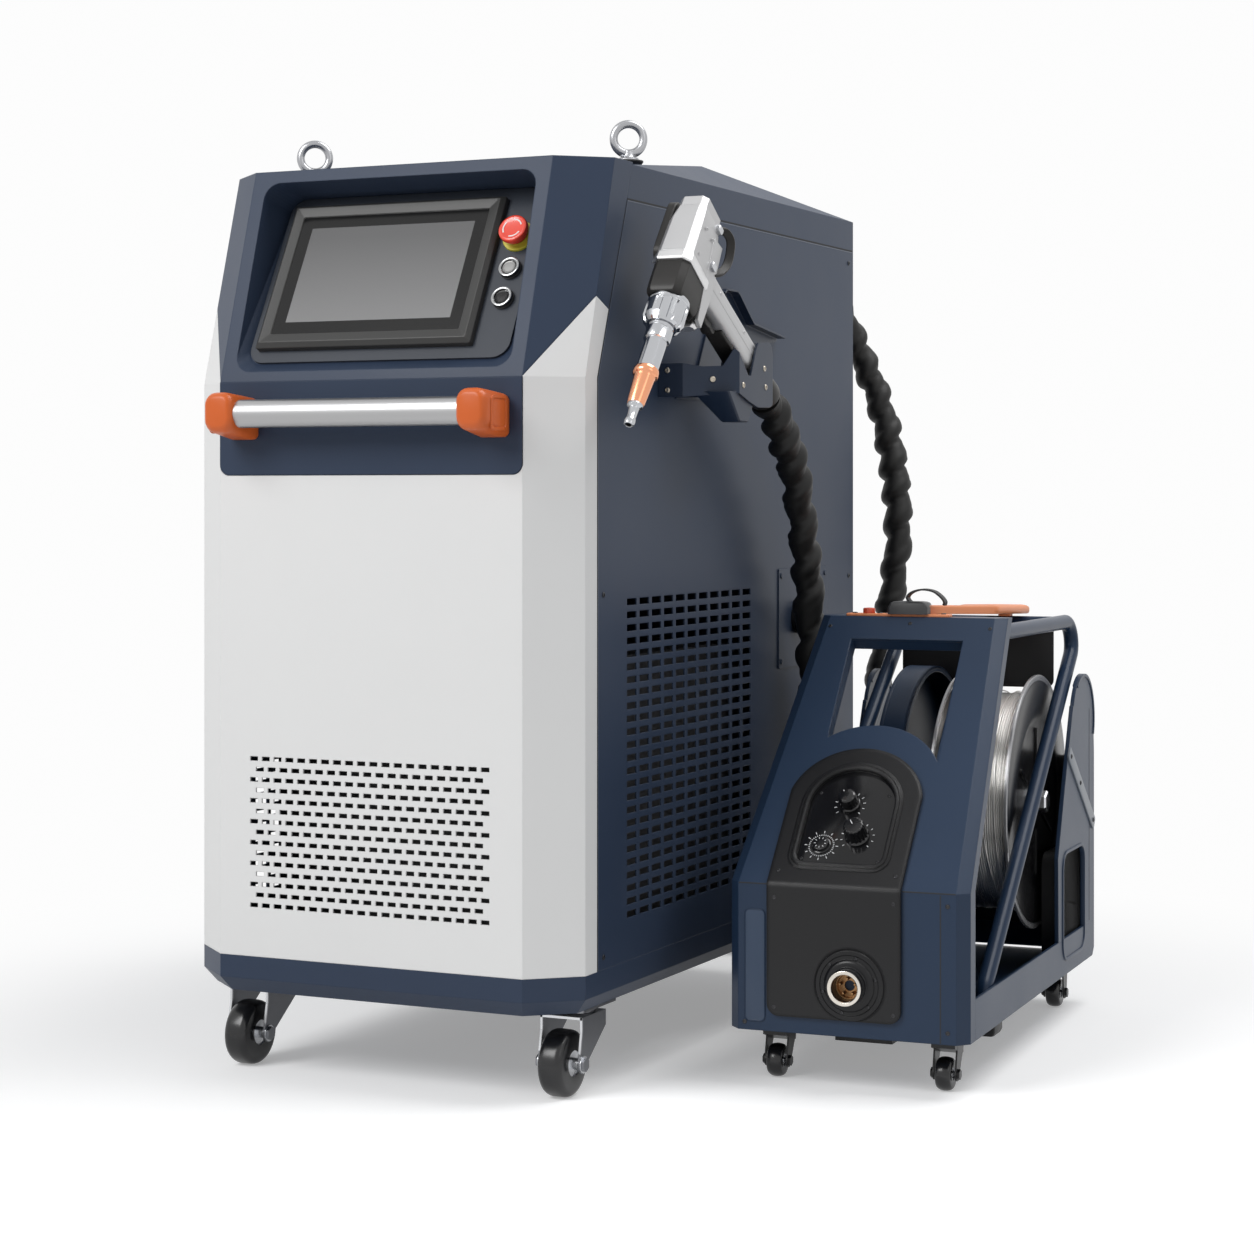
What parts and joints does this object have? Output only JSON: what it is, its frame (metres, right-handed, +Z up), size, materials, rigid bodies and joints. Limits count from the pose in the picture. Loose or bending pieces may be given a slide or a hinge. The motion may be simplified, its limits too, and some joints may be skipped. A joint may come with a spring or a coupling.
{
  "type": "laser welding machine",
  "caption": "Wheeled handheld laser welding machine with a leaning touch panel, torch, umbilical hose and separate wire feeder with spool.",
  "frame": {"origin": "on the floor under the middle of the cabinet and feeder, cords left out", "axes": "+Z up, -Y towards the front with the touch screen, +X towards the wire feeder's side"},
  "size_m": [0.877, 1.5004, 1.1075],
  "materials": {
    "navy_paint": "satin powder coat",
    "white_paint": "fine textured powder coat",
    "orange_paint": "satin moulding",
    "grey_panel": "fine texture",
    "black_gloss": "gloss",
    "yellow_plastic": "satin",
    "red_plastic": "gloss",
    "bright_steel": "zinc or chrome plated",
    "bar_aluminium": "satin anodised",
    "torch_aluminium": "bead blasted",
    "copper": "turned copper",
    "black_plastic": "satin",
    "black_rubber": "matt",
    "wheel_rubber": "semi gloss",
    "unit_grey": "matt",
    "feeder_paint": "satin powder coat",
    "handle_orange": "satin moulding",
    "spool_wire": "wound wire"
  },
  "bodies": {
    "cabinet": {"chassis": "navy_paint", "front_cover": "white_paint", "control_surround": "navy_paint", "control_plate": "grey_panel", "touch_screen": "black_gloss", "button_collars": "yellow_plastic", "grab_bar": "bar_aluminium", "grab_brackets": "orange_paint", "side_panel_right": "navy_paint", "side_panel_left": "navy_paint", "access_plate": "navy_paint", "lid": "navy_paint", "rear_panel": "navy_paint", "eye_bolts": "bright_steel", "laser_source": "unit_grey", "chiller": "unit_grey", "castor_plates": "bright_steel", "rear_forks": "bright_steel", "holster": "navy_paint", "umbilical_gland": "black_rubber", "umbilical": "black_rubber", "umbilical_coil": "black_rubber"},
    "stop_head": {"stop_head": "red_plastic"},
    "start_button": {"start_button": "bright_steel"},
    "stop_button": {"stop_button": "black_gloss"},
    "access_lock": {"access_lock": "black_plastic"},
    "front_castor_left": {"front_fork_left": "bright_steel"},
    "front_castor_right": {"front_fork_right": "bright_steel"},
    "front_wheel_left": {"front_wheel_left": "wheel_rubber"},
    "front_wheel_right": {"front_wheel_right": "wheel_rubber"},
    "rear_wheel_left": {"rear_wheel_left": "wheel_rubber"},
    "rear_wheel_right": {"rear_wheel_right": "wheel_rubber"},
    "torch": {"torch_body": "torch_aluminium", "torch_nose": "black_plastic", "torch_barrel": "bright_steel", "torch_nozzle": "copper", "torch_grip": "torch_aluminium", "torch_sleeve": "black_rubber"},
    "trigger": {"torch_trigger": "black_plastic"},
    "feeder": {"feeder_base": "feeder_paint", "feeder_front": "feeder_paint", "feeder_pod": "black_plastic", "wire_socket": "black_plastic", "feeder_cage": "feeder_paint", "feeder_handle": "handle_orange", "spool_guard": "feeder_paint", "feeder_side_plate": "feeder_paint", "wire_drive": "black_plastic", "feeder_rear_forks": "black_plastic"},
    "spool": {"spool": "black_gloss", "spool_wire": "spool_wire"},
    "speed_knob": {"speed_knob": "black_gloss"},
    "delay_knob": {"delay_knob": "black_gloss"},
    "mode_knob": {"mode_knob": "black_gloss"},
    "feeder_castor_left": {"feeder_fork_left": "black_plastic"},
    "feeder_castor_right": {"feeder_fork_right": "black_plastic"},
    "feeder_wheel_fl": {"feeder_wheel_fl": "wheel_rubber"},
    "feeder_wheel_fr": {"feeder_wheel_fr": "wheel_rubber"},
    "feeder_wheel_rl": {"feeder_wheel_rl": "wheel_rubber"},
    "feeder_wheel_rr": {"feeder_wheel_rr": "wheel_rubber"}
  },
  "joints": [
    {"name": "stop_press", "type": "slide", "parent": "cabinet", "child": "stop_head", "axis": [0, 0.8854, -0.4648], "range_m": [0, 0.005], "stiffness_N_per_m": 300, "springref_m": -0.002},
    {"name": "start_press_button", "type": "slide", "parent": "cabinet", "child": "start_button", "axis": [0, 0.8854, -0.4648], "range_m": [0, 0.003], "stiffness_N_per_m": 300, "springref_m": -0.002},
    {"name": "stop_press_button", "type": "slide", "parent": "cabinet", "child": "stop_button", "axis": [0, 0.8854, -0.4648], "range_m": [0, 0.003], "stiffness_N_per_m": 300, "springref_m": -0.002},
    {"name": "access_turn", "type": "hinge", "parent": "cabinet", "child": "access_lock", "pos_m": [0.06146, 0.256, 0.511], "axis": [1, 0, 0], "range_deg": [0, 90]},
    {"name": "front_swivel_left", "type": "hinge", "parent": "cabinet", "child": "front_castor_left", "pos_m": [-0.39454, -0.306, 0.09], "axis": [0, 0, 1], "continuous": true},
    {"name": "front_roll_left", "type": "hinge", "parent": "front_castor_left", "child": "front_wheel_left", "pos_m": [-0.39454, -0.341, 0.0375], "axis": [1, 0, 0], "continuous": true},
    {"name": "rear_roll_left", "type": "hinge", "parent": "cabinet", "child": "rear_wheel_left", "pos_m": [-0.39454, 0.381, 0.0375], "axis": [1, 0, 0], "continuous": true},
    {"name": "front_swivel_right", "type": "hinge", "parent": "cabinet", "child": "front_castor_right", "pos_m": [0.01746, -0.306, 0.09], "axis": [0, 0, 1], "continuous": true},
    {"name": "front_roll_right", "type": "hinge", "parent": "front_castor_right", "child": "front_wheel_right", "pos_m": [0.01746, -0.341, 0.0375], "axis": [1, 0, 0], "continuous": true},
    {"name": "rear_roll_right", "type": "hinge", "parent": "cabinet", "child": "rear_wheel_right", "pos_m": [0.01746, 0.381, 0.0375], "axis": [1, 0, 0], "continuous": true},
    {"name": "torch_lift", "type": "slide", "parent": "cabinet", "child": "torch", "axis": [0, 0.509, 0.8607], "range_m": [0, 0.06]},
    {"name": "trigger_pull", "type": "slide", "parent": "torch", "child": "trigger", "axis": [0, 0.509, 0.8607], "range_m": [0, 0.003], "stiffness_N_per_m": 300, "springref_m": -0.002},
    {"name": "feeder_roll", "type": "slide", "parent": "cabinet", "child": "feeder", "axis": [0.0523, -0.9986, 0], "range_m": [0, 0.3]},
    {"name": "spool_spin", "type": "hinge", "parent": "feeder", "child": "spool", "pos_m": [0.33254, 0.2734, 0.283], "axis": [0.9986, 0.0523, 0], "continuous": true},
    {"name": "speed_turn", "type": "hinge", "parent": "feeder", "child": "speed_knob", "pos_m": [0.27705, -0.11989, 0.3144], "axis": [0.0387, -0.7381, 0.6736], "range_deg": [-135, 135]},
    {"name": "delay_turn", "type": "hinge", "parent": "feeder", "child": "delay_knob", "pos_m": [0.29657, -0.14855, 0.28188], "axis": [0.0387, -0.7381, 0.6736], "range_deg": [-135, 135]},
    {"name": "mode_turn", "type": "hinge", "parent": "feeder", "child": "mode_knob", "pos_m": [0.25712, -0.16006, 0.27153], "axis": [0.0387, -0.7381, 0.6736], "range_deg": [-135, 135]},
    {"name": "feeder_swivel_left", "type": "hinge", "parent": "feeder", "child": "feeder_castor_left", "pos_m": [0.19543, -0.12933, 0.059], "axis": [0, 0, 1], "continuous": true},
    {"name": "feeder_front_roll_left", "type": "hinge", "parent": "feeder_castor_left", "child": "feeder_wheel_fl", "pos_m": [0.19606, -0.14131, 0.019], "axis": [0.9986, 0.0523, 0], "continuous": true},
    {"name": "feeder_rear_roll_left", "type": "hinge", "parent": "feeder", "child": "feeder_wheel_rl", "pos_m": [0.168, 0.39395, 0.019], "axis": [0.9986, 0.0523, 0], "continuous": true},
    {"name": "feeder_swivel_right", "type": "hinge", "parent": "feeder", "child": "feeder_castor_right", "pos_m": [0.39515, -0.11886, 0.059], "axis": [0, 0, 1], "continuous": true},
    {"name": "feeder_front_roll_right", "type": "hinge", "parent": "feeder_castor_right", "child": "feeder_wheel_fr", "pos_m": [0.39578, -0.13085, 0.019], "axis": [0.9986, 0.0523, 0], "continuous": true},
    {"name": "feeder_rear_roll_right", "type": "hinge", "parent": "feeder", "child": "feeder_wheel_rr", "pos_m": [0.36773, 0.40442, 0.019], "axis": [0.9986, 0.0523, 0], "continuous": true}
  ]
}
